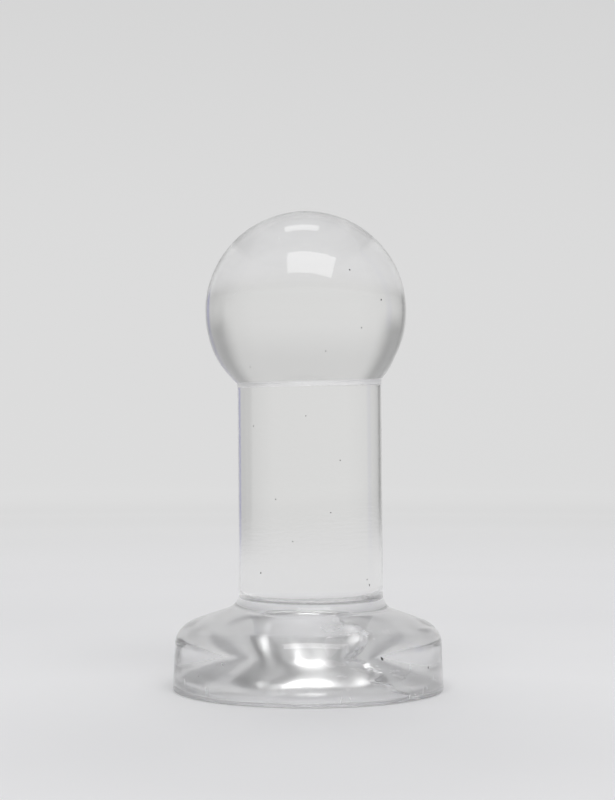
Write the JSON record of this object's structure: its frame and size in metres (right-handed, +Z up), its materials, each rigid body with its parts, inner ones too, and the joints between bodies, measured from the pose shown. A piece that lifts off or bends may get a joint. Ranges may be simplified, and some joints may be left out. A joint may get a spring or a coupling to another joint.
{
  "type": "sink plunger",
  "caption": "Clear moulded sink plunger with a ball knob on a thick round stem and a flared cup whose domed hollow underside seals on a drain and gives when pressed.",
  "frame": {"origin": "on the plunger's axis, on the surface that the rim of the cup stands on", "axes": "+Z up along the stem, from the cup to the ball knob; X and Y are alike, because every piece is turned about Z"},
  "size_m": [0.1, 0.1, 0.1763],
  "materials": {
    "clear_handle": "crystal-clear, glossy moulded plastic, very slightly warm",
    "clear_cup": "crystal-clear, glossy flexible moulding, with a faint violet-grey tint where it is thick"
  },
  "bodies": {
    "rim": {"cup_rim": "clear_cup", "cup_skirt": "clear_cup"},
    "handle": {"cup_crown": "clear_cup", "stem": "clear_handle", "grip_ball": "clear_handle"}
  },
  "joints": [
    {"name": "cup_squash", "type": "slide", "parent": "rim", "child": "handle", "axis": [0, 0, -1], "range_m": [0, 0.006], "stiffness_N_per_m": 12000, "deforming": ["cup_skirt"]}
  ]
}
